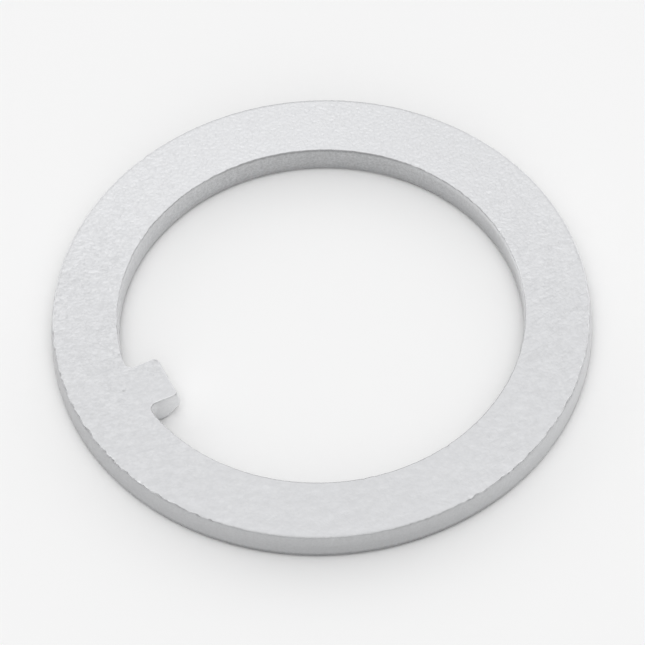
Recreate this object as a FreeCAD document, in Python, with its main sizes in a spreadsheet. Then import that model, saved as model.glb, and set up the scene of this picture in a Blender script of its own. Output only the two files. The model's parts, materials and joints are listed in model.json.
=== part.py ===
import FreeCAD, Part
import Sketcher
import math
import os

# Keyed spindle washer: a flat steel ring with one square tab standing into its bore.
# It is blanked from sheet in one stroke, so every edge has the same three zones.
# From the bottom face up they are a rounded roll, a smooth upright land and a leaning break.
#
# Frame: millimetres, +Z up, origin on the bottom face at the ring's centre.
# The tab points along +X from the bore's -X side.

DRIVING_SIZES = [
    ("outer_diameter", 50.8, "rim, measured on the smooth land"),
    ("bore_diameter", 38.1, "bore, measured on the smooth land"),
    ("sheet_thickness", 3.0, "plated sheet, face to face"),
    ("tab_width", 4.75, "tab, measured on its smooth sides"),
    ("tab_length", 3.4, "from the bore's wall to the middle of the tab's tip"),
    ("root_radius", 0.7, "inside corner between the tab and the bore"),
    ("corner_radius", 0.3, "upright corners of the tab's tip, and the roll under the hole's edge"),
    ("rim_roll", 0.5, "roll under the rim"),
    ("tip_bevel_length", 1.5, "slope under the tab's tip, measured back along the tab"),
    ("tip_bevel_height", 1.4, "slope under the tab's tip, measured up from the bottom face"),
    ("tip_bevel_ease", 0.5, "rounding where the slope meets the bottom face and the tip"),
    ("break_depth", 1.2, "height of the leaning break, down from the top face"),
    ("rim_lean", 0.16, "how far the break draws the rim in at the top face"),
    ("hole_lean", 0.11, "how far the break opens the hole at the top face"),
    ("tip_lean", 0.28, "how far the break draws the tab's tip back at the top face"),
]

NODE = "tab_washer"


def make_sheet(doc):
    """Spreadsheet of driving dimensions, one alias each."""
    sheet = doc.addObject("Spreadsheet::Sheet", "sizes")
    for row, (alias, value, meaning) in enumerate(DRIVING_SIZES, start=1):
        sheet.set("A%d" % row, alias)
        sheet.set("B%d" % row, str(value))
        sheet.set("C%d" % row, meaning)
        sheet.setAlias("B%d" % row, alias)
    doc.recompute()
    return sheet


def origin_plane(body, role):
    """One of the body's own origin planes, by its role."""
    return next(item for item in body.Origin.OriginFeatures if item.Role == role)


def new_sketch(body, name, role, height=None):
    """Sketch on an origin plane of the body, lifted by an expression if one is given."""
    sketch = body.newObject("Sketcher::SketchObject", name)
    sketch.AttachmentSupport = (origin_plane(body, role), "")
    sketch.MapMode = "FlatFace"
    if height:
        sketch.setExpression("AttachmentOffset.Base.z", height)
    return sketch


def bind(sketch, constraint, name, expression):
    """Add a named dimension to a sketch and tie it to the sheet."""
    index = sketch.addConstraint(constraint)
    sketch.renameConstraint(index, name)
    sketch.setExpression("Constraints.%s" % name, expression)


def point(x, y):
    return FreeCAD.Vector(x, y, 0)


def line(start, end):
    return Part.LineSegment(point(*start), point(*end))


def arc(centre, radius, start, end):
    circle = Part.Circle(point(*centre), FreeCAD.Vector(0, 0, 1), radius)
    return Part.ArcOfCircle(circle, start, end)


def draw_rim_section(sketch, size):
    """Half-section of the blank: roll, land and break of the rim, out to the turning axis."""
    rim = size("outer_diameter") / 2
    top = size("sheet_thickness")
    land_top = top - size("break_depth")
    roll = size("rim_roll")
    lean = size("rim_lean")
    bottom_line = sketch.addGeometry(line((0, 0), (rim - roll, 0)))
    roll_arc = sketch.addGeometry(arc((rim - roll, roll), roll, -math.pi / 2, 0))
    land_line = sketch.addGeometry(line((rim, roll), (rim, land_top)))
    break_line = sketch.addGeometry(line((rim, land_top), (rim - lean, top)))
    top_line = sketch.addGeometry(line((rim - lean, top), (0, top)))
    axis_line = sketch.addGeometry(line((0, top), (0, 0)))
    join = sketch.addConstraint
    join(Sketcher.Constraint("Coincident", bottom_line, 1, -1, 1))
    join(Sketcher.Constraint("Tangent", bottom_line, 2, roll_arc, 1))
    join(Sketcher.Constraint("Tangent", roll_arc, 2, land_line, 1))
    join(Sketcher.Constraint("Coincident", land_line, 2, break_line, 1))
    join(Sketcher.Constraint("Coincident", break_line, 2, top_line, 1))
    join(Sketcher.Constraint("Coincident", top_line, 2, axis_line, 1))
    join(Sketcher.Constraint("Coincident", axis_line, 2, bottom_line, 1))
    join(Sketcher.Constraint("Horizontal", bottom_line))
    join(Sketcher.Constraint("Vertical", land_line))
    join(Sketcher.Constraint("Horizontal", top_line))
    join(Sketcher.Constraint("Vertical", axis_line))
    bind(sketch, Sketcher.Constraint("Radius", roll_arc, roll), "roll", "sizes.rim_roll")
    bind(sketch, Sketcher.Constraint("DistanceX", -1, 1, land_line, 1, rim),
         "rim", "sizes.outer_diameter / 2")
    bind(sketch, Sketcher.Constraint("DistanceY", break_line, 1, break_line, 2, top - land_top),
         "broken", "sizes.break_depth")
    bind(sketch, Sketcher.Constraint("DistanceX", break_line, 2, break_line, 1, lean),
         "lean", "sizes.rim_lean")
    bind(sketch, Sketcher.Constraint("DistanceY", axis_line, 2, axis_line, 1, top),
         "thick", "sizes.sheet_thickness")


def root_centre(bore, half_width, root):
    """Centre of the root arc that touches the bore from inside and the tab's side."""
    return (-math.sqrt((bore - root) ** 2 - (half_width + root) ** 2), half_width + root)


def draw_hole(sketch, bore, half_width, tip, root, corner, terms):
    """Closed outline of the bore with the tab standing in it, symmetric about the X axis.

    bore is a radius, tip the tab's distance from the centre.  A corner of None leaves the
    tip's two corners sharp.  terms gives the sheet's expression for each size.
    """
    root_x, root_y = root_centre(bore, half_width, root)
    turn = math.atan2(root_y, root_x)
    inset = corner or 0
    bore_arc = sketch.addGeometry(arc((0, 0), bore, -turn, turn))
    upper_root = sketch.addGeometry(arc((root_x, root_y), root, turn, 1.5 * math.pi))
    upper_side = sketch.addGeometry(line((root_x, half_width), (-tip - inset, half_width)))
    tip_line = sketch.addGeometry(line((-tip, half_width - inset), (-tip, inset - half_width)))
    lower_side = sketch.addGeometry(line((-tip - inset, -half_width), (root_x, -half_width)))
    lower_root = sketch.addGeometry(
        arc((root_x, -root_y), root, 0.5 * math.pi, 2 * math.pi - turn))
    join = sketch.addConstraint
    join(Sketcher.Constraint("Coincident", bore_arc, 3, -1, 1))
    join(Sketcher.Constraint("Tangent", bore_arc, 2, upper_root, 1))
    join(Sketcher.Constraint("Tangent", upper_root, 2, upper_side, 1))
    join(Sketcher.Constraint("Tangent", lower_side, 2, lower_root, 1))
    join(Sketcher.Constraint("Tangent", lower_root, 2, bore_arc, 1))
    join(Sketcher.Constraint("Horizontal", upper_side))
    join(Sketcher.Constraint("Horizontal", lower_side))
    join(Sketcher.Constraint("Equal", upper_root, lower_root))
    if corner is None:
        join(Sketcher.Constraint("Coincident", upper_side, 2, tip_line, 1))
        join(Sketcher.Constraint("Coincident", tip_line, 2, lower_side, 1))
    else:
        upper_corner = sketch.addGeometry(
            arc((-tip - corner, half_width - corner), corner, 0, 0.5 * math.pi))
        lower_corner = sketch.addGeometry(
            arc((-tip - corner, corner - half_width), corner, 1.5 * math.pi, 2 * math.pi))
        join(Sketcher.Constraint("Tangent", upper_side, 2, upper_corner, 2))
        join(Sketcher.Constraint("Tangent", upper_corner, 1, tip_line, 1))
        join(Sketcher.Constraint("Tangent", tip_line, 2, lower_corner, 2))
        join(Sketcher.Constraint("Tangent", lower_corner, 1, lower_side, 1))
        join(Sketcher.Constraint("Equal", upper_corner, lower_corner))
        bind(sketch, Sketcher.Constraint("Radius", upper_corner, corner),
             "corner", terms["corner"])
    join(Sketcher.Constraint("Symmetric", tip_line, 1, tip_line, 2, -1))
    bind(sketch, Sketcher.Constraint("Radius", bore_arc, bore), "bore", terms["bore"])
    bind(sketch, Sketcher.Constraint("Radius", upper_root, root), "root", terms["root"])
    bind(sketch, Sketcher.Constraint("DistanceY", lower_side, 1, upper_side, 2, 2 * half_width),
         "width", terms["width"])
    bind(sketch, Sketcher.Constraint("DistanceX", tip_line, 1, -1, 1, tip), "tip", terms["tip"])


def edges_where(feature, test):
    """Names of the feature's edges whose midpoint and end points pass a test."""
    names = []
    for number, edge in enumerate(feature.Shape.Edges, start=1):
        middle = edge.valueAt(0.5 * (edge.FirstParameter + edge.LastParameter))
        if test(middle, [vertex.Point for vertex in edge.Vertexes]):
            names.append("Edge%d" % number)
    return names


def make_washer(doc, sheet):
    """The whole washer: turned blank, keyed hole, rolls below and leaning break above."""

    def size(alias):
        return float(sheet.get(alias))

    near = 1e-4
    body = doc.addObject("PartDesign::Body", NODE)
    body.Label = NODE
    bore = size("bore_diameter") / 2
    half_width = size("tab_width") / 2
    tip = bore - size("tab_length")
    lean = size("hole_lean")

    # The blank: a disc with the rim's roll, land and break
    section = new_sketch(body, "rim_section", "XZ_Plane")
    draw_rim_section(section, size)
    blank = body.newObject("PartDesign::Revolution", "blank")
    blank.Profile = section
    blank.ReferenceAxis = (section, ["V_Axis"])
    blank.Angle = 360
    section.Visibility = False
    doc.recompute()

    # The hole at its land, with the tab's tip still sharp at the corners
    land = {
        "bore": "sizes.bore_diameter / 2",
        "root": "sizes.root_radius",
        "width": "sizes.tab_width",
        "tip": "sizes.bore_diameter / 2 - sizes.tab_length",
        "corner": "sizes.corner_radius",
    }
    outline = new_sketch(body, "hole_outline", "XY_Plane")
    draw_hole(outline, bore, half_width, tip, size("root_radius"), None, land)
    hole = body.newObject("PartDesign::Pocket", "hole")
    hole.Profile = outline
    hole.Type = "ThroughAll"
    hole.Reversed = True
    outline.Visibility = False
    doc.recompute()

    # The slope under the tip, cut along the bottom edge of the tip alone
    def under_tip(mid, ends):
        return abs(mid.z) < near and abs(mid.x + tip) < near

    bevel = body.newObject("PartDesign::Chamfer", "tip_bevel")
    bevel.Base = (hole, edges_where(hole, under_tip))
    bevel.ChamferType = "Two distances"
    bevel.setExpression("Size", "sizes.tip_bevel_length")
    bevel.setExpression("Size2", "sizes.tip_bevel_height")
    doc.recompute()

    # Its two long edges are eased into the bottom face and the tip
    bevel_length = size("tip_bevel_length")
    bevel_height = size("tip_bevel_height")

    def along_bevel(mid, ends):
        foot = abs(mid.z) < near and abs(mid.x + tip + bevel_length) < near
        head = abs(mid.z - bevel_height) < near and abs(mid.x + tip) < near
        return foot or head

    tip_round = body.newObject("PartDesign::Fillet", "tip_bevel_ease")
    tip_round.Base = (bevel, edges_where(bevel, along_bevel))
    tip_round.setExpression("Radius", "sizes.tip_bevel_ease")
    doc.recompute()

    # Corners of the tip and the roll along the hole's bottom edge, one smooth chain
    def on_tip_corner(mid, ends):
        return abs(abs(mid.y) - half_width) < near and all(end.x > -tip - near for end in ends)

    chain = body.newObject("PartDesign::Fillet", "hole_roll")
    chain.Base = (tip_round, edges_where(tip_round, on_tip_corner))
    chain.setExpression("Radius", "sizes.corner_radius")
    doc.recompute()

    # The break: the walls of the hole lean away from the land up to the top face
    opened = {
        "bore": "sizes.bore_diameter / 2 + sizes.hole_lean",
        "root": "sizes.root_radius + sizes.hole_lean",
        "width": "sizes.tab_width - 2 * sizes.hole_lean",
        "tip": "sizes.bore_diameter / 2 - sizes.tab_length + sizes.tip_lean",
        "corner": "sizes.corner_radius",
    }
    land_height = "sizes.sheet_thickness - sizes.break_depth"
    break_foot = new_sketch(body, "break_foot", "XY_Plane", land_height)
    draw_hole(break_foot, bore, half_width, tip, size("root_radius"),
              size("corner_radius"), land)
    break_head = new_sketch(body, "break_head", "XY_Plane", "sizes.sheet_thickness")
    draw_hole(break_head, bore + lean, half_width - lean, tip + size("tip_lean"),
              size("root_radius") + lean, size("corner_radius"), opened)
    doc.recompute()
    hole_break = body.newObject("PartDesign::SubtractiveLoft", "hole_break")
    hole_break.Profile = break_foot
    hole_break.Sections = [break_head]
    hole_break.Ruled = True
    break_foot.Visibility = False
    break_head.Visibility = False
    doc.recompute()
    return body


def check(doc, bodies):
    """Stop before anything is written if an object failed or a shape is not sound."""
    for item in doc.Objects:
        if "Invalid" in item.State or "Error" in item.State:
            raise RuntimeError("%s did not rebuild: %s" % (item.Name, item.State))
    for body in bodies:
        if body.Shape.isNull() or not body.Shape.isValid():
            raise RuntimeError("%s has no valid shape" % body.Label)
        if len(body.Shape.Solids) != 1:
            raise RuntimeError("%s is not one solid" % body.Label)


def main():
    doc = FreeCAD.newDocument("tab_washer_model")
    sheet = make_sheet(doc)
    washer = make_washer(doc, sheet)
    doc.recompute()
    check(doc, [washer])
    os.makedirs("parts", exist_ok=True)
    washer.Shape.exportStep("parts/%s.step" % washer.Label)
    print(washer.Label, "volume %.1f mm3" % washer.Shape.Volume, washer.Shape.BoundBox)


main()
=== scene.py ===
import json
import math

import bpy
import numpy as np
from mathutils import Matrix, Vector, noise


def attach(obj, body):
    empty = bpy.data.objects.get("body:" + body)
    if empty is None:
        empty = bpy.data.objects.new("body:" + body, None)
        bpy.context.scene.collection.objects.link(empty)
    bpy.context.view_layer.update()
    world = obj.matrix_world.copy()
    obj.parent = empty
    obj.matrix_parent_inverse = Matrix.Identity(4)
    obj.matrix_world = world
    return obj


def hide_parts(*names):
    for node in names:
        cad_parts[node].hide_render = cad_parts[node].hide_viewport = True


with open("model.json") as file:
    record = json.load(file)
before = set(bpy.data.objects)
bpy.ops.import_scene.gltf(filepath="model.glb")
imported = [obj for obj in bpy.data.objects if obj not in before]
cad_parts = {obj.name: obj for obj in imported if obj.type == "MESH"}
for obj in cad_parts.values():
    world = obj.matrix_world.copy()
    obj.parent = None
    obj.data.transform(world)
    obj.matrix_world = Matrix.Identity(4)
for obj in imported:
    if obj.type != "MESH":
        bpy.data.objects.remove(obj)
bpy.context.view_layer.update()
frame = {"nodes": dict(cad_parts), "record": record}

# An internal tab washer: matt zinc over blanked sheet steel.
# Lengths below are millimetres, as in the part's drawing; objects are built in metres.
# Left, right, front and back are as the photograph sees the washer.

MM = 0.001
NODE = "tab_washer"
BORE_MOUNT = "keyed_bore"

# Edge sizes: the solid's, but for the rolls under the rim and the bore, which follow the photo
ROOT_RADIUS = 0.7
CORNER_RADIUS = 0.3
RIM_ROLL = 0.42
BORE_ROLL = 0.52
TIP_BEVEL_LENGTH = 1.5
TIP_BEVEL_HEIGHT = 1.4
TIP_BEVEL_EASE = 0.5
BREAK_DEPTH = 1.2
BREAK_HOLLOW = 1.25
RIM_LEAN = 0.16
HOLE_LEAN = 0.11
TIP_LEAN = 0.28

# The top edges are blunt by this much: the rim's is rubbed, the hole's still keen
RIM_BLUNT = 0.09
HOLE_BLUNT = 0.08

# How finely the mesh is divided: in columns and rows, at places near an edge, and up the wall
BORE_COLUMNS = 1056
TIP_COLUMNS = 48
ROOT_ROWS = 9
SIDE_ROWS = 16
CORNER_ROWS = 5
TOP_ROWS = 38
BOTTOM_ROWS = 8
NEAR_EDGE = (0.0, 0.045, 0.12, 0.24)
ROLL_STEPS = (0.0, 0.02, 0.07, 0.14, 0.22, 0.3, 0.36, RIM_ROLL, BORE_ROLL)
LAND_STEPS = (0.9, 1.25, 1.42, 1.62)
BREAK_SHARES = (0.0, 0.25, 0.5, 0.72)
BELOW_TOP = (RIM_BLUNT, HOLE_BLUNT, 0.3 * HOLE_BLUNT, 0.0)

# Bearings of the sheet's grain and of the long creases at the right, in degrees
GRAIN_TURN = -23.6
LONG_CREASE_TURN = 8.0

# Relief of the mesh: how high or deep each kind is
WAVE_HEIGHT = 0.0015
CREASE_HEIGHT = 0.003
UNDERSIDE_CREASES = 0.3
STREAK_HEIGHT = 0.003
TEAR_HEIGHT = 0.025
CHIP_DEPTH = 0.14

# Its noise: the length of its features along x, y and z, where it is read, and its octaves
RELIEF_NOISE = {
    "waves": ((4.0, 4.0, 4.0), 3.1, 2),
    "creases": ((1.3, 0.45, 1.0), 11.7, 3),
    "streaks x": ((0.5, 0.5, 9.0), 21.3, 2),
    "streaks y": ((0.5, 0.5, 9.0), 34.9, 2),
    "tears x": ((0.42, 0.42, 0.6), 71.3, 3),
    "tears y": ((0.42, 0.42, 0.6), 84.9, 3),
    "large chips": ((0.7, 0.7, 3.0), 71.2, 1),
    "small chips": ((0.33, 0.33, 1.5), 48.6, 1),
}

# Heights or distances over which relief comes in
TOP_FACE_FADE = 0.25
BOTTOM_FACE_FADE = 0.1
STREAKS_FROM = (0.05, 0.4)
CHIPS_FROM_MIDDLE = (1.0, 2.4)
CHIPS_OFF_TAB = 0.4
LARGE_CHIP_EDGE = (0.0, 0.16)
SMALL_CHIP_EDGE = (0.0, 0.3)

# Chips are shallower on the bore. They are few where an edge runs along the grain, and on the
# rim's back and the bore's front
BORE_CHIP_SHARE = 0.5
CHIPS_ALONG_GRAIN = 0.3
CHIPS_TURNING = (0.2, 0.6)
CHIPS_FAR_SIDE = 0.2
CHIPS_FRONT = (-8.0, 4.0)

# Nicks in the top edges: how many, on which share of the turn, reach and depth
NICKS = 26
NICK_SEED = 7
NICK_SPREAD = 0.94
NICKS_ON_RIM = 0.6
NICK_REACH = (0.15, 0.4)
NICK_DEPTH = (0.03, 0.09)
NICK_SLANT = 0.7

# Single marks that the eye meets: place on the top face, reach and depth
MARKS = (
    (-16.02, 2.20, 0.34, 0.14),
    (-20.26, 0.30, 0.22, 0.10),
)

# Colours of the zinc: a pair is its dull and its bright tone
FACE_TONES = ((0.584, 0.588, 0.599, 1), (0.711, 0.715, 0.728, 1))
WALL_TONES_ALONG_GRAIN = ((0.400, 0.403, 0.409, 1), (0.675, 0.680, 0.690, 1))
# Painted light: the walls are lighter where they face the sides, cut across the grain
PAINTED_SIDE_LIGHT_TONES = ((0.548, 0.552, 0.560, 1), (0.850, 0.856, 0.866, 1))
# Painted light on the walls of the tab
PAINTED_TAB_LIGHT_TONES = ((0.725, 0.729, 0.738, 1), (0.845, 0.849, 0.859, 1))
# Painted shade in a line along the rim's top edge on the face
RIM_LINE_SHADE = (0.45, 0.454, 0.46, 1)
# Painted shade on the top edges of the rim and the bore
TOP_EDGE_SHADE = (0.40, 0.405, 0.41, 1)
# Painted shade in the pit of each single mark
MARK_PIT_SHADE = (0.29, 0.294, 0.30, 1)
# Painted shade: at the walls' foot, and on the bore's right side and lower half
SHADED = (0.33, 0.335, 0.34, 1)
# Painted shade in a thin line at the bore's top edge
BROW_SHADE = (0.30, 0.30, 0.305, 1)
# Painted light in a band under the bore's top edge
FRINGE_LIGHT = (0.94, 0.945, 0.955, 1)
# Painted highlight on the rim's top edge across the grain
TOP_EDGE_HIGHLIGHT = (0.88, 0.885, 0.895, 1)

# The photograph's frame and where it sees the washer
PHOTO_PIXELS = 645
CENTRE_PIXEL = (321.93, 331.0)
FOCAL_PIXELS = 5213.1
CAMERA_DISTANCE = 491.5
CAMERA_ELEVATION = 54.5
CAMERA_TURN = -23.6
CAMERA_ROLL = -2.72
SENSOR = 36.0
CLIP_START = 0.01

# The floor: half its width in metres, and its finish
FLOOR_REACH = 1.5
FLOOR_COLOUR = (0.913, 0.913, 0.913, 1)
FLOOR_ROUGHNESS = 0.9

# Broad glows of the sky: bearing, clockwise from behind the ring, elevation and strength
SKY_GLOWS = (
    (0, 90, 1.632),
    (0, 65, 0.963),
    (180, 65, 1.931),
    (0, 20, 1.343),
    (45, 20, 1.538),
    (180, 20, 2.069),
    (315, 20, 1.499),
)
GLOW_SHARPNESS = 12.0


def measure_washer():
    """Rim, bore, thickness, tab's tip and tab's half width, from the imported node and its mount."""
    mesh = frame["nodes"][NODE].data
    co = np.array([vertex.co for vertex in mesh.vertices]) / MM
    radius = np.hypot(co[:, 0], co[:, 1])
    bore = next(m for m in frame["record"]["mounts"] if m["name"] == BORE_MOUNT)["dims"]["r_mm"]
    in_tab = co[radius < bore - 2 * CORNER_RADIUS]
    tip = -in_tab[:, 0].max()
    beside = in_tab[in_tab[:, 0] < -tip - TIP_BEVEL_LENGTH]
    return radius.max(), bore, co[:, 2].max(), tip, np.abs(beside[:, 1]).max()


RIM, BORE, THICKNESS, TIP, HALF_WIDTH = measure_washer()
LAND_TOP = THICKNESS - BREAK_DEPTH


def roll_inset(height, radius):
    """How far a quarter-round roll under an edge draws the wall in at a height."""
    if height >= radius:
        return 0.0
    return radius - math.sqrt(radius ** 2 - (radius - height) ** 2)


def bevel_inset(height):
    """How far the slope under the tab's tip draws it in at a height; both its ends are eased."""
    length, rise, ease = TIP_BEVEL_LENGTH, TIP_BEVEL_HEIGHT, TIP_BEVEL_EASE
    steep = math.atan2(length, rise)
    upper = ease * math.tan(steep / 2)
    lower = ease * math.tan((math.pi / 2 - steep) / 2)
    if height >= rise + upper:
        return 0.0
    if height > rise - upper * math.cos(steep):
        return ease - math.sqrt(ease ** 2 - (rise + upper - height) ** 2)
    if height > lower * math.cos(steep):
        return length * (1 - height / rise)
    return length + lower - math.sqrt(ease ** 2 - (ease - height) ** 2)


def break_share(height):
    """0 on the land, rising to 1 at the top face, in the slightly hollow curve of a torn edge."""
    share = max(0.0, (height - LAND_TOP) / BREAK_DEPTH)
    return share ** BREAK_HOLLOW


def blunt_inset(height, radius):
    """How far a blunt top edge draws its wall in at a height."""
    above = max(0.0, height - (THICKNESS - radius))
    return radius - math.sqrt(max(0.0, radius ** 2 - above ** 2))


def rim_radius(height):
    """Radius of the rim at a height."""
    inset = roll_inset(height, RIM_ROLL) + blunt_inset(height, RIM_BLUNT)
    return RIM - inset - RIM_LEAN * break_share(height)


def hole_sizes(height):
    """Bore radius, tab half width, tip distance, root radius and corner radius at a height."""
    blunt = blunt_inset(height, HOLE_BLUNT)
    upper_inset = blunt + HOLE_LEAN * break_share(height)
    inset = roll_inset(height, CORNER_RADIUS) + upper_inset
    tip_inset = bevel_inset(height) + blunt + TIP_LEAN * break_share(height)
    return (
        BORE + roll_inset(height, BORE_ROLL) + upper_inset,
        HALF_WIDTH - inset,
        TIP + tip_inset,
        ROOT_RADIUS + inset,
        CORNER_RADIUS,
    )


def shares_of(length, steps):
    """Shares from 0 to 1 along a length, close together at both ends, where an edge is."""
    near = [step / length for step in NEAR_EDGE]
    middle = np.linspace(near[-1], 1 - near[-1], steps - 2 * len(near) + 3)
    return np.concatenate([near[:-1], middle, [1 - share for share in near[-2::-1]]])


def circle(x, y, radius, angle):
    """Points round a centre at the given angles."""
    return np.column_stack([x + radius * np.cos(angle), y + radius * np.sin(angle)])


def between(start, end, shares):
    """Points on the way from start to end."""
    shares = np.asarray(shares)[:, None]
    return (1 - shares) * np.asarray(start) + shares * np.asarray(end)


def raised(plan, height):
    """Points of a plan at one height."""
    return np.column_stack([plan, np.full(len(plan), height)])


def hole_outline(height):
    """Closed outline of the hole at a height, anticlockwise from the tab's lower root."""
    bore, half, tip, root, corner = hole_sizes(height)
    root_y = half + root
    root_x = -math.sqrt((bore - root) ** 2 - root_y ** 2)
    turn = math.atan2(root_y, root_x)
    quarter = math.pi / 2

    def arc(x, y, radius, start, end, steps):
        return circle(x, y, radius, np.linspace(start, end, steps + 1))

    along = np.linspace(0, 1, SIDE_ROWS + 1)
    across = shares_of(2 * half, TIP_COLUMNS)
    pieces = [
        arc(0, 0, bore, -turn, turn, BORE_COLUMNS),
        arc(root_x, root_y, root, turn, 3 * quarter, ROOT_ROWS),
        between((root_x, half), (-tip - corner, half), along),
        arc(-tip - corner, half - corner, corner, quarter, 0, CORNER_ROWS),
        between((-tip, half - corner), (-tip, corner - half), across),
        arc(-tip - corner, corner - half, corner, 0, -quarter, CORNER_ROWS),
        between((-tip - corner, -half), (root_x, -half), along),
        arc(root_x, -root_y, root, quarter, 4 * quarter - turn, ROOT_ROWS),
    ]
    points = [pieces[0]] + [piece[1:] for piece in pieces[1:]]
    return np.vstack(points)[:-1]


def ring_bearings():
    """Bearing of each column of the ring: the bore's own columns, then those behind the tab."""
    outline = hole_outline(THICKNESS)[:BORE_COLUMNS + 1]
    start = math.atan2(outline[-1, 1], outline[-1, 0])
    on_bore = np.linspace(-start, start, BORE_COLUMNS + 1)
    share = shares_of(2 * HALF_WIDTH, TIP_COLUMNS)
    behind_tab = (start + share * 2 * (math.pi - start))[1:-1]
    return np.concatenate([on_bore, behind_tab])


def rim_outline(height):
    """Rim at a height, its points on the same bearings as the ring's columns."""
    return circle(0, 0, rim_radius(height), ring_bearings())


def wall_heights():
    """Steps up the wall: close together at the roll, at the break and at the blunt top edge."""
    torn = [LAND_TOP + share * BREAK_DEPTH for share in BREAK_SHARES]
    top = [THICKNESS - below for below in BELOW_TOP]
    return [*ROLL_STEPS, *LAND_STEPS, *torn, *top]


class MeshBuilder:
    """Collects vertices and quads as plain arrays."""

    def __init__(self):
        self.points = []
        self.quads = []
        self.count = 0

    def add(self, points):
        """Adds points and returns their indices."""
        self.points.append(points)
        index = np.arange(self.count, self.count + len(points))
        self.count += len(points)
        return index

    def strip(self, first, second, closed):
        """Quads between two rows of vertices."""
        nexts = (np.roll(first, -1), np.roll(second, -1))
        quad = np.column_stack([first, nexts[0], nexts[1], second])
        self.quads.append(quad if closed else quad[:-1])


def fill_ring(builder, height, rows, inner, outer, order):
    """Rings of quads from the hole's edge to the rim's; returns the vertices behind the tab."""
    bearing = ring_bearings()
    bore = hole_sizes(height)[0]
    rim = rim_radius(height)
    arc = circle(0, 0, bore, bearing[BORE_COLUMNS + 1:])
    arc_row = builder.add(raised(arc, height))
    start = np.vstack([hole_outline(height)[:BORE_COLUMNS + 1], arc])
    end = circle(0, 0, rim, bearing)
    row = np.concatenate([inner[:BORE_COLUMNS + 1], arc_row])
    for share in shares_of(rim - bore, rows)[1:-1]:
        plan = (1 - share) * start + share * end
        following = builder.add(raised(plan, height))
        builder.strip(*(row, following)[::order], closed=True)
        row = following
    builder.strip(*(row, outer)[::order], closed=True)
    return arc_row


def fill_tab(builder, height, inner, arc_row, order):
    """The tab's patch, row by row from the arc behind it to its tip."""
    bore = hole_sizes(height)[0]
    outline = hole_outline(height)
    across = shares_of(2 * HALF_WIDTH, TIP_COLUMNS)
    root = BORE_COLUMNS
    rows = ROOT_ROWS + SIDE_ROWS + CORNER_ROWS
    row = np.concatenate([[inner[root]], arc_row, [inner[0]]])
    for step in range(1, rows):
        first = outline[root + step]
        last = outline[-step]
        y = first[1] + across * (last[1] - first[1])
        fade = max(0.0, 1 - step / ROOT_ROWS)
        bulge = np.sqrt(bore ** 2 - y ** 2) - math.sqrt(bore ** 2 - first[1] ** 2)
        plan = np.column_stack([first[0] - fade * bulge, y])
        middle = builder.add(raised(plan[1:-1], height))
        following = np.concatenate([[inner[root + step]], middle, [inner[-step]]])
        builder.strip(*(following, row)[::order], closed=False)
        row = following
    tip_row = inner[root + rows:root + rows + TIP_COLUMNS + 1]
    builder.strip(*(tip_row, row)[::order], closed=False)


def build_washer():
    """The whole washer as one closed mesh, before its surface relief."""
    builder = MeshBuilder()
    hole_rows = []
    rim_rows = []
    for height in wall_heights():
        hole_rows.append(builder.add(raised(hole_outline(height), height)))
        rim_rows.append(builder.add(raised(rim_outline(height), height)))
    for below, above in zip(hole_rows, hole_rows[1:]):
        builder.strip(above, below, closed=True)
    for below, above in zip(rim_rows, rim_rows[1:]):
        builder.strip(below, above, closed=True)
    wall_quads = sum(len(quads) for quads in builder.quads)

    # The bottom face, then the top one: its quads take their rows in the other order, to face up
    for height, rows, level, order in ((0.0, BOTTOM_ROWS, 0, 1), (THICKNESS, TOP_ROWS, -1, -1)):
        arc_row = fill_ring(builder, height, rows, hole_rows[level], rim_rows[level], order)
        fill_tab(builder, height, hole_rows[level], arc_row, order)
    return np.vstack(builder.points), np.vstack(builder.quads), wall_quads


def smooth_step(value, low, high):
    """0 at low, 1 at high, and a smooth rise between."""
    share = np.clip((value - low) / (high - low), 0, 1)
    return share * share * (3 - 2 * share)


def rough(points, kind):
    """Smooth noise of a kind, about -1 to 1."""
    grain, place, octaves = RELIEF_NOISE[kind]
    scaled = points / np.array(grain) + place
    return np.array([noise.fractal(point, 1.0, 2.0, octaves) for point in scaled.tolist()])


def dip(points, centre, reach):
    """1 at a centre, fading smoothly to 0 at its reach."""
    away = np.sum((points - np.array(centre)) ** 2, axis=1) / reach ** 2
    return np.clip(1 - away, 0, None) ** 2


def turned(points, degrees):
    """Points turned about the ring's axis."""
    angle = math.radians(degrees)
    turn = np.array([[math.cos(angle), math.sin(angle), 0],
                     [-math.sin(angle), math.cos(angle), 0],
                     [0, 0, 1]])
    return points @ turn.T


def face_relief(points, grained):
    """The faces: long shallow waves, and fine creases drawn out along the sheet's grain."""
    height = points[:, 2]
    waves = WAVE_HEIGHT * rough(points, "waves")
    creases = CREASE_HEIGHT * rough(grained, "creases")
    upper = smooth_step(height, THICKNESS - TOP_FACE_FADE, THICKNESS)
    lower = 1 - smooth_step(height, 0.0, BOTTOM_FACE_FADE)
    shift = np.zeros_like(points)
    shift[:, 2] = upper * (waves + creases) + lower * UNDERSIDE_CREASES * np.abs(creases)
    return shift


def wall_relief(points, torn):
    """The walls: upright streaks on the land, and a rough break."""
    streak_height = STREAK_HEIGHT * smooth_step(points[:, 2], *STREAKS_FROM)
    shift = np.zeros_like(points)
    for axis, name in enumerate("xy"):
        streaks = rough(points, "streaks " + name)
        tears = rough(points, "tears " + name)
        shift[:, axis] = streak_height * streaks + TEAR_HEIGHT * torn * tears
    return shift


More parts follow.
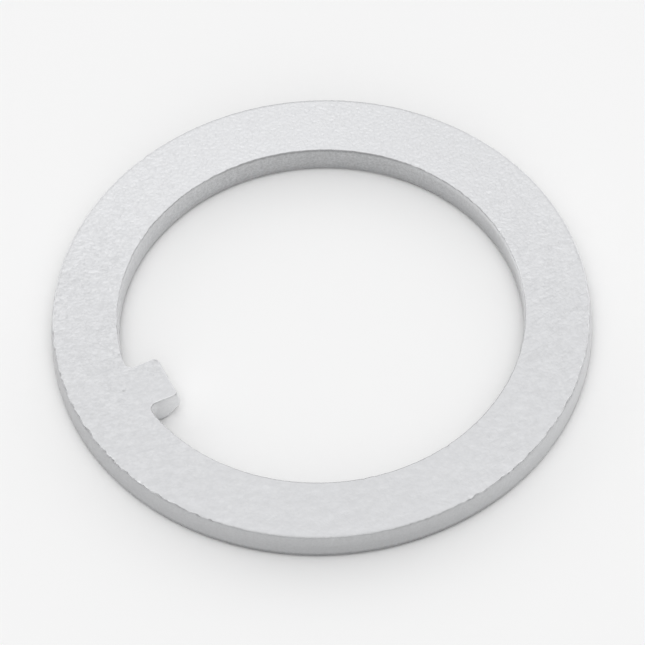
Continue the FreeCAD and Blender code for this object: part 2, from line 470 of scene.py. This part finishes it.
def edge_chips(points, grained, torn):
    """Chips that eat into the ring's top edges: inward on the rim, outward on the bore."""
    radius = np.hypot(points[:, 0], points[:, 1])
    middle = (BORE + RIM) / 2
    on_rim = radius > middle
    side = np.where(on_rim, -1, BORE_CHIP_SHARE)
    off_tab = smooth_step(radius, BORE - CHIPS_OFF_TAB, BORE)
    near_edge = torn ** 2 * smooth_step(np.abs(radius - middle), *CHIPS_FROM_MIDDLE)
    turning = smooth_step(np.abs(grained[:, 0]) / radius, *CHIPS_TURNING)
    crossing = CHIPS_ALONG_GRAIN + (1 - CHIPS_ALONG_GRAIN) * turning
    front = smooth_step(-grained[:, 1], *CHIPS_FRONT)
    frayed = CHIPS_FAR_SIDE + (1 - CHIPS_FAR_SIDE) * np.where(on_rim, front, 1 - front)
    large = smooth_step(rough(points, "large chips"), *LARGE_CHIP_EDGE)
    small = smooth_step(rough(points, "small chips"), *SMALL_CHIP_EDGE)
    push = CHIP_DEPTH * side * off_tab * near_edge * crossing * frayed * (large + small) / 2
    return (push / radius)[:, None] * points * (1, 1, 0)


def edge_nicks(points):
    """Small nicks along the top edges."""
    chance = np.random.default_rng(NICK_SEED)
    shift = np.zeros_like(points)
    for _ in range(NICKS):
        bearing = chance.uniform(-NICK_SPREAD, NICK_SPREAD) * math.pi
        outside = chance.random() < NICKS_ON_RIM
        reach = chance.uniform(*NICK_REACH)
        depth = chance.uniform(*NICK_DEPTH)
        radius = rim_radius(THICKNESS) if outside else hole_sizes(THICKNESS)[0]
        outward = np.array([math.cos(bearing), math.sin(bearing), 0.0])
        inward = -outward if outside else outward
        dent = depth * dip(points, radius * outward + (0, 0, THICKNESS), reach)
        shift += NICK_SLANT * dent[:, None] * (inward - (0, 0, 1))
    return shift


def single_marks(points):
    """The single marks on the top face."""
    shift = np.zeros_like(points)
    for x, y, reach, depth in MARKS:
        shift[:, 2] -= depth * dip(points, (x, y, THICKNESS), reach)
    return shift


def add_relief(points):
    """The points with everything that is too fine for the solid."""
    grained = turned(points, GRAIN_TURN)
    torn = np.clip((points[:, 2] - LAND_TOP) / BREAK_DEPTH, 0, 1)
    return (points + face_relief(points, grained) + wall_relief(points, torn)
            + edge_chips(points, grained, torn) + edge_nicks(points) + single_marks(points))


def make_mesh(name, points, quads, wall_quads):
    """Mesh object in metres; its first wall_quads faces take the second material."""
    mesh = bpy.data.meshes.new(name)
    mesh.vertices.add(len(points))
    mesh.vertices.foreach_set("co", (points * MM).ravel())
    mesh.loops.add(quads.size)
    mesh.loops.foreach_set("vertex_index", quads.ravel())
    mesh.polygons.add(len(quads))
    mesh.polygons.foreach_set("loop_start", np.arange(0, quads.size, 4))
    mesh.polygons.foreach_set("use_smooth", np.ones(len(quads), bool))
    slots = np.zeros(len(quads), int)
    slots[:wall_quads] = 1
    mesh.materials.append(make_face_zinc())
    mesh.materials.append(make_wall_zinc())
    mesh.polygons.foreach_set("material_index", slots)
    mesh.update(calc_edges=True)
    mesh.validate()
    piece = bpy.data.objects.new(name, mesh)
    bpy.context.scene.collection.objects.link(piece)
    return piece


# Noise in the materials: the size of its features, its detail and its roughness
FACE_NOISE = {
    "clouds": (4.0, 3.0, 0.5),
    "patches": (1.3, 3.0, 0.55),
    "grain": (0.30, 1.0, 0.4),
    "mottle": (0.55, 2.0, 0.55),
    "short creases": (0.46, 2.0, 0.5),
    "long creases": (0.7, 2.0, 0.5),
}
WALL_NOISE = {
    "clouds": (2.5, 2.0, 0.5),
    "streaks": (0.35, 3.0, 0.6),
    "pits": (0.22, 2.0, 0.6),
}

# Noise drawn out along a bearing: how many times, and how wide the creases in it are
MOTTLE_STRETCH = 1.05
SHORT_CREASE_STRETCH, SHORT_CREASE_WIDTH = 1.7, 0.13
LONG_CREASE_STRETCH, LONG_CREASE_WIDTH = 5.0, 0.05

# What the creases' valleys are measured from, so that they leave the face's mean tone alone
SHORT_CREASE_MEAN = 0.7
LONG_CREASE_MEAN = 0.9

# Depth of the bump on the faces and the walls, and what goes into it
FACE_BUMP = 0.06
CREASE_BUMP = 0.25
WALL_BUMP = 0.02
STREAK_BUMP = 0.3
PIT_BUMP = 0.8

# The face grows darker toward the right back by this much a millimetre
RIGHT_BACK_TONE = -0.006

# The walls: how flat the streaks' noise is pressed, and their share in the mottled tone
STREAK_PRESS = 0.12
MOTTLE_PITS = 0.85
MOTTLE_STREAKS = 0.15

# How much noise moves the bottom line, the top line and the height where the break starts
WOBBLE = 0.5
WOBBLE_AT_FOOT = 0.5
COMB = 0.5
BREAK_WAVER = 0.8

# Heights that depend on the place: at 0, and how much more at 1
FOOT_TOP = (0.5, 0.35)
FOOT_FULL = (0.1, 0.22)
SHADE_TOP = (1.4, 1.3)
SHADE_FULL = 0.3

# What the break adds to the walls' roughness, low down and toward its frayed edge
TORN_ROUGHNESS = 0.04
FRAYED_ROUGHNESS = 0.2

# Where a mark's painted shade starts and is full, in parts of its reach from its centre, and its
# share
PIT_SHADE_EDGE = 0.9
PIT_SHADE_FULL = 0.3
PIT_SHADE_SHARE = 0.4

# Trends: how a finish changes over the washer. Each gives what it is read from, the two values
# of that between which it runs, and its own values at both. Along and across are lengths on the
# top face, rising to the right and to the back. "from cross line" and "from grain line" are how
# far a point is from the lines through the centre across and along the grain. "cut across" is 0
# where an edge runs along the grain and 1 where it crosses it, where the walls face the sides.
# The share of painted light from the sides is the same, but less on the left of the rim.
FACE_TRENDS = {
    "patchy": ("clouds", 0.35, 0.65, 0.0, 1.0),
    "roughness": ("patches", 0.3, 0.7, 0.48, 0.52),
    # Creases: short ones at the left and the back, long ones at the right
    "short creases at left": ("along", 4.0, -16.0, 0.05, 0.18),
    "short creases at back": ("across", 4.0, 18.0, 0.0, 0.05),
    "short creases in patches": ("patchy", 0.0, 1.0, 0.5, 1.0),
    "long creases at right": ("along", 8.0, 18.0, 0.0, 0.32),
    # Bump: the grain is rubbed soft toward the front
    "grain bump across": ("across", -24.0, 14.0, 0.15, 1.45),
    "grain bump along": ("along", -16.0, 14.0, 0.86, 0.89),
    "patch bump across": ("across", -24.0, 14.0, 1.7, 1.0),
    "patch bump along": ("along", -20.0, -4.0, 0.55, 1.0),
    "mottle bump at left": ("along", 2.0, -16.0, 0.0, 0.6),
    "mottle bump in middle": ("from grain line", 14.0, 5.0, 0.1, 1.0),
    # Tone: brighter toward the back, clouded, mottled and grained; the creases darker with painted
    # shade
    "tone across": ("across", -5.0, 20.0, 0.315, 0.63),
    "tone across all": ("across", -22.0, 14.0, -0.16, 0.13),
    "tone along": ("along", 12.0, -12.0, -0.06, 0.06),
    "right": ("along", 0.0, 16.0, 0.0, 1.0),
    "cloudy tone": ("cloudy", 0.3, 0.7, -0.045, 0.045),
    "cloudy tone along": ("along", -16.0, -4.0, 0.45, 1.0),
    "patch tone": ("along", -20.0, 0.0, 0.1, 0.28),
    "mottle tone at back": ("across", 22.0, 6.0, 0.15, 1.0),
    "mottle tone at sides": ("from cross line", 6.0, 22.0, 0.48, 1.0),
    "mottle tone along": ("along", -22.0, 22.0, 1.08, 1.0),
    "mottle tone by bore": ("radius", BORE - 0.5, BORE + 0.8, 0.4, 1.0),
    "grain tone across": ("across", -20.0, 14.0, 0.07, 0.57),
    "grain tone along": ("along", -18.0, 14.0, 1.04, 1.12),
    "crease shade at left": ("along", 2.0, -16.0, 1.15, 2.7),
    "crease shade in middle": ("from grain line", 2.0, 14.0, 1.0, 0.5),
    # The line of painted shade along the rim's top edge
    "rim line shade": ("radius", RIM - 0.48, RIM - 0.22, 0.0, 1.0),
    "rim line shade at front": ("cut across", 0.0, 0.3, 0.5, 0.12),
    "rim line shade at back": ("across", 0.0, 6.0, 0.0, 0.45),
}
WALL_TRENDS = {
    # Where a wall is: outside on the rim or in the bore, on the tab or off it
    "outside": ("radius", BORE + 1, RIM - 1, 0.0, 1.0),
    "in bore": ("outside", 0.0, 1.0, 1.0, 0.0),
    "inside bore": ("radius", BORE - 0.02, BORE - 0.35, 0.0, 1.0),
    "beside tab": ("from tab", HALF_WIDTH + ROOT_RADIUS + 0.4, HALF_WIDTH + ROOT_RADIUS, 0.0, 1.0),
    "tab's half": ("along", 0.0, -5.0, 0.0, 1.0),
    "off tab": ("on tab", 0.0, 1.0, 1.0, 0.0),
    # The rim's left gets less of the painted light from the sides
    "less side light at left": ("along", -6.0, -20.0, 0.0, 0.85),
    # Roughness
    "torn": ("wavering height", 0.7, 1.5, 0.0, 1.0),
    "frayed": ("height", THICKNESS - 0.35, THICKNESS - 0.08, 0.0, 1.0),
    "pitted": ("pits", 0.3, 0.7, 0.28, 0.34),
    # Contrast of the mottled tone
    "contrast by side": ("outside", 0.0, 1.0, 2.0, 0.6),
    "contrast by grain": ("side light share", 0.2, 1.0, 1.0, 0.6),
    # The bore's right side is darkened with painted shade
    "dim at right": ("along", -12.0, 6.0, 0.0, 0.2),
    "dim off far right": ("cut across", 0.75, 1.0, 1.0, 0.0),
    # Painted shade: a line at the foot, where the wall meets the floor, and on the bore's lower half
    "foot on tab": ("on tab", 0.0, 1.0, 1.0, 0.25),
    "foot at sides": ("cut across outside", 0.1, 0.6, 1.0, 0.35),
    "shade in bore": ("outside", 0.0, 1.0, 0.40, 0.0),
    "shade at right": ("along", -18.0, -6.0, 0.2, 1.0),
    # The band of painted light under the bore's top edge
    "fringe": ("height", THICKNESS - 0.8, THICKNESS - 0.08, 0.0, 1.0),
    "fringe at right": ("along", -10.0, 12.0, 0.3, 0.8),
    "fringe at back": ("across", -3.0, 5.0, 0.0, 1.0),
    # The thin line of painted shade at the bore's top edge
    "brow": ("frayed height", THICKNESS - 0.34, THICKNESS - 0.06, 0.0, 1.0),
    "brow in bore": ("outside", 0.0, 1.0, 0.75, 0.0),
    "brow at back": ("side light share", 0.02, 0.35, 1.0, 0.0),
    "brow on tab": ("on tab", 0.0, 1.0, 1.0, 0.1),
    # The rim's top edge: painted shade where it runs along the grain, a painted highlight where it
    # crosses it
    "top edge": ("height", THICKNESS - 0.16, THICKNESS - 0.04, 0.0, 1.0),
    "shade along grain": ("cut across", 0.02, 0.22, 0.5, 0.0),
    "highlight across grain": ("cut across", 0.1, 0.5, 0.0, 0.7),
    # The bore's top edge at the right front, in painted shade too
    "near edge": ("height", THICKNESS - 0.3, THICKNESS - 0.08, 0.0, 1.0),
    "near edge at front": ("across", 2.0, -4.0, 0.0, 0.3),
    "near edge at right": ("along", 0.0, 10.0, 0.0, 1.0),
}


class NodeGraph:
    """A material or world under construction: makes its nodes and joins them."""

    def __init__(self, tree):
        self.tree = tree

    def add(self, kind, output=0, settings=None, **inputs):
        """Adds a node and returns one of its outputs; an input is a value or another output."""
        node = self.tree.nodes.new(kind)
        for name, value in (settings or {}).items():
            setattr(node, name, value)
        for name, value in inputs.items():
            key = int(name[1:]) if name[1:].isdigit() else name.replace("_", " ")
            self.feed(node.inputs[key], value)
        return node.outputs[output]

    def feed(self, socket, value):
        """Joins an output to a socket, or sets the socket's own value."""
        if isinstance(value, bpy.types.NodeSocket):
            self.tree.links.new(value, socket)
        else:
            socket.default_value = value

    def math(self, operation, first, second=0.0):
        return self.add("ShaderNodeMath", settings={"operation": operation}, _0=first, _1=second)

    def vector_math(self, operation, output, first, second=(0, 0, 0)):
        return self.add("ShaderNodeVectorMath", output=output, settings={"operation": operation},
                        _0=first, _1=second)

    def total(self, *terms):
        """Everything added up."""
        result = terms[0]
        for term in terms[1:]:
            result = self.math("ADD", result, term)
        return result

    def product(self, *factors):
        """Everything multiplied together."""
        result = factors[0]
        for factor in factors[1:]:
            result = self.math("MULTIPLY", result, factor)
        return result

    def less(self, value, amount):
        return self.math("SUBTRACT", value, amount)


class ZincGraph(NodeGraph):
    """A zinc material: what it is painted by, its noise and its trends over the washer."""

    def __init__(self, name, noises, trends):
        self.material = bpy.data.materials.new(name)
        self.material.use_nodes = True
        super().__init__(self.material.node_tree)
        self.shader = self.tree.nodes["Principled BSDF"]
        self.shader.inputs["Metallic"].default_value = 1.0
        self.noises = noises
        self.trends = trends
        self.coordinates = self.add("ShaderNodeTexCoord", output="Object")
        along_grain = self.add("ShaderNodeMapping", Vector=self.coordinates,
                               Rotation=(0, 0, math.radians(-GRAIN_TURN)), Scale=(1 / MM,) * 3)
        level = self.add("ShaderNodeMapping", Vector=self.coordinates, Scale=(1, 1, 0))
        along = self.axis(along_grain, 0)
        radius = self.in_mm(self.vector_math("LENGTH", 1, level))
        self.read = {
            "along": along,
            "across": self.axis(along_grain, 1),
            "radius": radius,
            "cut across": self.math("POWER", self.math("DIVIDE", along, radius), 2.0),
        }

    def axis(self, vector, number):
        """One of a vector's three numbers."""
        return self.add("ShaderNodeSeparateXYZ", output=number, Vector=vector)

    def in_mm(self, length):
        """A length in millimetres."""
        return self.math("DIVIDE", length, MM)

    def drawn_out(self, turn, stretch):
        """Coordinates in which a noise comes out stretched along a bearing."""
        return self.add("ShaderNodeMapping", settings={"vector_type": "TEXTURE"},
                        Vector=self.coordinates, Rotation=(0, 0, math.radians(turn)),
                        Scale=(stretch, 1, 1))

    def noise(self, kind, vector=None):
        """Noise of a kind, from 0 to 1."""
        grain, detail, roughness = self.noises[kind]
        return self.add("ShaderNodeTexNoise", Scale=1 / (grain * MM), Detail=detail,
                        Roughness=roughness, Vector=self.coordinates if vector is None else vector)

    def centred(self, value):
        """A noise moved to lie about 0."""
        return self.less(value, 0.5)

    def rest(self, share):
        """What a share leaves of 1."""
        return self.math("SUBTRACT", 1.0, share)

    def ramp(self, value, low, high, to_low=0.0, to_high=1.0):
        """Maps low..high smoothly to to_low..to_high."""
        return self.add("ShaderNodeMapRange", settings={"interpolation_type": "SMOOTHSTEP"},
                        Value=value, From_Min=low, From_Max=high, To_Min=to_low, To_Max=to_high)

    def trend(self, *names):
        """The trends of these names, multiplied together."""
        found = []
        for name in names:
            read_from, *numbers = self.trends[name]
            found.append(self.ramp(self.read[read_from], *numbers))
        return self.product(*found)

    def valleys(self, value, width):
        """0 along the lines where a noise passes its middle, 1 away from them."""
        return self.ramp(self.math("ABSOLUTE", self.centred(value)), 0.0, width)

    def straight(self, value, at_zero, rise):
        """A number that grows evenly with a value."""
        return self.total(self.product(value, rise), at_zero)

    def mix(self, share, first, second):
        """first where the share is 0, second where it is 1."""
        node = self.tree.nodes.new("ShaderNodeMix")
        node.data_type = "RGBA"
        self.feed(node.inputs["Factor"], share)
        self.feed(node.inputs[6], first)
        self.feed(node.inputs[7], second)
        return node.outputs[2]

    def finish(self, relief, depth, colour, roughness):
        """Joins everything to the shader and returns the material."""
        bump = self.add("ShaderNodeBump", Strength=1.0, Distance=depth * MM, Height=relief)
        self.feed(self.shader.inputs["Normal"], bump)
        self.feed(self.shader.inputs["Base Color"], colour)
        self.feed(self.shader.inputs["Roughness"], roughness)
        return self.material


def face_creases(graph):
    """Creases: thin lines where a noise drawn out along them passes its middle; they go down."""
    short_noise = graph.noise("short creases", graph.drawn_out(GRAIN_TURN, SHORT_CREASE_STRETCH))
    long_noise = graph.noise("long creases", graph.drawn_out(LONG_CREASE_TURN, LONG_CREASE_STRETCH))
    short = graph.less(graph.valleys(short_noise, SHORT_CREASE_WIDTH), SHORT_CREASE_MEAN)
    long = graph.less(graph.valleys(long_noise, LONG_CREASE_WIDTH), LONG_CREASE_MEAN)
    short_share = graph.total(graph.trend("short creases at left"),
                              graph.trend("short creases at back"))
    short_share = graph.product(short_share, graph.trend("short creases in patches"))
    long_share = graph.product(graph.trend("long creases at right"), graph.read["patchy"])
    return graph.total(graph.product(short, short_share), graph.product(long, long_share))


def face_tone(graph, patches, grain, mottle, creases):
    """Share of the bright tone on the faces, with painted shade in the creases."""
    right_back = graph.product(graph.trend("right"), graph.read["across"], RIGHT_BACK_TONE)
    return graph.total(
        graph.trend("tone across"),
        graph.trend("tone across all"),
        graph.trend("tone along"),
        right_back,
        graph.trend("cloudy tone", "cloudy tone along"),
        graph.product(patches, graph.trend("patch tone")),
        graph.product(mottle, graph.trend("mottle tone at back", "mottle tone at sides",
                                          "mottle tone along", "mottle tone by bore")),
        graph.product(grain, graph.trend("grain tone across", "grain tone along")),
        # Painted shade in the creases
        graph.product(creases, graph.trend("crease shade at left", "crease shade in middle")),
    )


def make_face_zinc():
    """Matt zinc of the faces: fine grain, short creases at the left and long ones at the right."""
    graph = ZincGraph("zinc_face", FACE_NOISE, FACE_TRENDS)
    read = graph.read
    read["from cross line"] = graph.math("ABSOLUTE", read["along"])
    read["from grain line"] = graph.math("ABSOLUTE", read["across"])
    read["clouds"] = graph.noise("clouds")
    read["patches"] = graph.noise("patches")
    read["patchy"] = graph.trend("patchy")
    read["cloudy"] = graph.product(graph.total(read["clouds"], read["patches"]), 0.5)
    patches = graph.centred(read["patches"])
    grain = graph.centred(graph.noise("grain"))
    mottle = graph.centred(graph.noise("mottle", graph.drawn_out(GRAIN_TURN, MOTTLE_STRETCH)))
    creases = face_creases(graph)

    relief = graph.total(
        graph.product(grain, graph.trend("grain bump across", "grain bump along")),
        graph.product(patches, graph.trend("patch bump across", "patch bump along")),
        graph.product(creases, CREASE_BUMP),
        graph.product(mottle, graph.trend("mottle bump at left", "mottle bump in middle")),
    )
    tone = face_tone(graph, patches, grain, mottle, creases)
    colour = graph.mix(tone, *FACE_TONES)

    # Painted shade in a line along the rim's top edge, and in the pit of each single mark
    edge_shade = graph.math("MAXIMUM", graph.trend("rim line shade at front"), graph.trend("rim line shade at back"))
    edge_shade = graph.product(graph.trend("rim line shade"), edge_shade)
    colour = graph.mix(edge_shade, colour, RIM_LINE_SHADE)
    for x, y, reach, _ in MARKS:
        place = (x * MM, y * MM, THICKNESS * MM)
        away = graph.vector_math("DISTANCE", 1, graph.coordinates, place)
        # Painted shade in the mark's pit
        pit_shade = graph.ramp(away, PIT_SHADE_EDGE * reach * MM, PIT_SHADE_FULL * reach * MM, 0.0, PIT_SHADE_SHARE)
        colour = graph.mix(pit_shade, colour, MARK_PIT_SHADE)
    return graph.finish(relief, FACE_BUMP, colour, graph.trend("roughness"))


def wall_body(graph, pits, streaks):
    """Mottled colour of the walls, with painted light: brighter where cut across the grain, at the
    sides, brightest on the tab.
    """
    read = graph.read
    grains = graph.total(graph.product(pits, MOTTLE_PITS), graph.product(streaks, MOTTLE_STREAKS))
    contrast = graph.trend("contrast by side", "contrast by grain")
    mottled = graph.total(graph.product(graph.centred(grains), contrast), 0.5)
    along_grain = graph.mix(mottled, *WALL_TONES_ALONG_GRAIN)
    # Painted light where the walls face the sides, and on the tab
    lit_side_colour = graph.mix(mottled, *PAINTED_SIDE_LIGHT_TONES)
    body = graph.mix(read["side light share"], along_grain, lit_side_colour)
    return graph.mix(read["on tab"], body, graph.mix(mottled, *PAINTED_TAB_LIGHT_TONES))


def wall_low_shade(graph, wobble):
    """Share of painted shade low on the walls: a line at the foot, where the wall meets the floor,
    and the bore's lower half.
    """
    read = graph.read
    from_floor = graph.total(read["height"], graph.product(wobble, WOBBLE_AT_FOOT))
    foot_shade = graph.ramp(from_floor, graph.straight(read["outside"], *FOOT_TOP),
                      graph.straight(read["outside"], *FOOT_FULL))
    foot_shade = graph.product(foot_shade, graph.trend("foot on tab", "foot at sides"))
    shade = graph.ramp(read["height"], graph.straight(read["side light share"], *SHADE_TOP), SHADE_FULL)
    shade = graph.product(shade, graph.trend("shade in bore", "shade at right", "off tab"))
    return graph.math("MAXIMUM", foot_shade, shade)


def make_wall_zinc():
    """Zinc on the cut edges: mottled, streaked upright and pitted, with painted light and shade,
    also in lines along their edges.
    """
    graph = ZincGraph("zinc_cut_edge", WALL_NOISE, WALL_TRENDS)
    read = graph.read
    upright = graph.add("ShaderNodeMapping", Vector=graph.coordinates, Scale=(1, 1, STREAK_PRESS))
    streaks = graph.noise("streaks", upright)
    pits = graph.noise("pits")
    clouds = graph.noise("clouds")
    wobble = graph.product(graph.centred(pits), WOBBLE)
    comb = graph.product(graph.centred(streaks), COMB)

    # Where on the walls a point is
    read["pits"] = pits
    read["height"] = graph.in_mm(graph.axis(graph.coordinates, 2))
    read["frayed height"] = graph.total(read["height"], wobble, comb)
    read["wavering height"] = graph.total(read["height"],
                                          graph.product(graph.centred(clouds), BREAK_WAVER))
    read["outside"] = graph.trend("outside")
    read["from tab"] = graph.in_mm(graph.math("ABSOLUTE", graph.axis(graph.coordinates, 1)))
    on_root = graph.product(graph.trend("beside tab", "tab's half"), graph.rest(read["outside"]))
    read["on tab"] = graph.math("MAXIMUM", graph.trend("inside bore"), on_root)
    # The rim's left gets less of the painted light from the sides
    less_side_light = graph.product(graph.trend("less side light at left"), read["outside"])
    read["side light share"] = graph.product(read["cut across"], graph.rest(less_side_light))
    read["cut across outside"] = graph.product(read["cut across"], read["outside"])

    # From the plain wall to the thinnest line on it: painted light and shade
    colour = wall_body(graph, pits, streaks)
    # Painted shade on the bore's right side
    colour = graph.mix(graph.trend("dim at right", "in bore", "dim off far right"), colour, SHADED)
    # Painted shade at the foot and on the bore's lower half
    colour = graph.mix(wall_low_shade(graph, wobble), colour, SHADED)
    # Painted light in a band under the bore's top edge
    fringe = graph.trend("fringe", "in bore", "fringe at right", "off tab", "fringe at back")
    colour = graph.mix(graph.product(fringe, read["side light share"]), colour, FRINGE_LIGHT)
    # Painted shade in a thin line at the bore's top edge
    brow = graph.trend("brow", "brow in bore", "brow at back", "brow on tab")
    colour = graph.mix(brow, colour, BROW_SHADE)
    rim_edge = graph.product(graph.trend("top edge"), read["outside"])
    # Painted shade on the rim's top edge along the grain
    edge_shade = graph.product(rim_edge, graph.trend("shade along grain"))
    colour = graph.mix(edge_shade, colour, TOP_EDGE_SHADE)
    # Painted highlight on the rim's top edge across the grain
    edge_highlight = graph.product(rim_edge, graph.trend("highlight across grain"))
    colour = graph.mix(edge_highlight, colour, TOP_EDGE_HIGHLIGHT)
    # Painted shade on the bore's top edge at the right front
    near_edge = graph.trend("near edge at front", "in bore", "near edge at right", "near edge")
    colour = graph.mix(near_edge, colour, TOP_EDGE_SHADE)

    relief = graph.total(graph.product(streaks, STREAK_BUMP), graph.product(pits, PIT_BUMP))
    roughness = graph.total(graph.product(graph.trend("torn"), TORN_ROUGHNESS),
                            graph.trend("pitted"),
                            graph.product(graph.trend("frayed"), FRAYED_ROUGHNESS))
    return graph.finish(relief, WALL_BUMP, colour, roughness)


def make_camera():
    """Camera at the photograph's place, with the ring's centre on its pixel."""
    elevation = math.radians(CAMERA_ELEVATION)
    turn = math.radians(CAMERA_TURN)
    roll = math.radians(CAMERA_ROLL)
    back = Vector((math.sin(turn) * math.cos(elevation), -math.cos(turn) * math.cos(elevation),
                   math.sin(elevation)))
    level_right = Vector((math.cos(turn), math.sin(turn), 0))
    level_up = back.cross(level_right)
    right = level_right * math.cos(roll) + level_up * math.sin(roll)
    up = level_up * math.cos(roll) - level_right * math.sin(roll)
    pixel = CAMERA_DISTANCE / FOCAL_PIXELS
    aside = (CENTRE_PIXEL[0] - PHOTO_PIXELS / 2) * pixel
    above = (PHOTO_PIXELS / 2 - CENTRE_PIXEL[1]) * pixel
    place = (back * CAMERA_DISTANCE - right * aside - up * above) * MM
    data = bpy.data.cameras.new("photo_camera")
    data.sensor_width = SENSOR
    data.lens = FOCAL_PIXELS / PHOTO_PIXELS * SENSOR
    data.clip_start = CLIP_START
    camera = bpy.data.objects.new("photo_camera", data)
    facing = Matrix((right, up, back)).transposed().to_4x4()
    camera.matrix_world = Matrix.Translation(place) @ facing
    bpy.context.scene.collection.objects.link(camera)
    bpy.context.scene.camera = camera


def make_floor():
    """Plain pale floor that keeps the washer's shadow."""
    near, far = -FLOOR_REACH, FLOOR_REACH
    mesh = bpy.data.meshes.new("floor")
    mesh.from_pydata([(near, near, 0), (far, near, 0), (far, far, 0), (near, far, 0)],
                     [], [(0, 1, 2, 3)])
    floor = bpy.data.objects.new("floor", mesh)
    bpy.context.scene.collection.objects.link(floor)
    material = bpy.data.materials.new("pale_floor")
    material.use_nodes = True
    shader = material.node_tree.nodes["Principled BSDF"]
    shader.inputs["Base Color"].default_value = FLOOR_COLOUR
    shader.inputs["Roughness"].default_value = FLOOR_ROUGHNESS
    shader.inputs["Specular IOR Level"].default_value = 0.0
    mesh.materials.append(material)


def toward(bearing, elevation):
    """Direction toward a light, its bearing counted clockwise from behind the ring."""
    angle = math.radians(90 - bearing + CAMERA_TURN)
    level = math.cos(math.radians(elevation))
    return Vector((math.cos(angle) * level, math.sin(angle) * level,
                   math.sin(math.radians(elevation))))


def make_sky():
    """Soft studio light: a world of broad glows, with no lamps."""
    world = bpy.data.worlds.new("studio")
    bpy.context.scene.world = world
    world.use_nodes = True
    graph = NodeGraph(world.node_tree)
    direction = graph.add("ShaderNodeTexCoord", output="Generated")
    glows = []
    for bearing, elevation, strength in SKY_GLOWS:
        facing = graph.vector_math("DOT_PRODUCT", 1, direction, toward(bearing, elevation))
        nearness = graph.product(graph.less(facing, 1.0), GLOW_SHARPNESS)
        glows.append(graph.product(graph.math("EXPONENT", nearness), strength))
    background = world.node_tree.nodes["Background"]
    background.inputs["Color"].default_value = (1, 1, 1, 1)
    graph.feed(background.inputs["Strength"], graph.total(*glows))


points, quads, wall_quads = build_washer()
washer = make_mesh("washer", add_relief(points), quads, wall_quads)
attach(washer, "root")
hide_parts(NODE)

make_camera()
make_floor()
make_sky()
bpy.context.scene.view_settings.view_transform = "Standard"
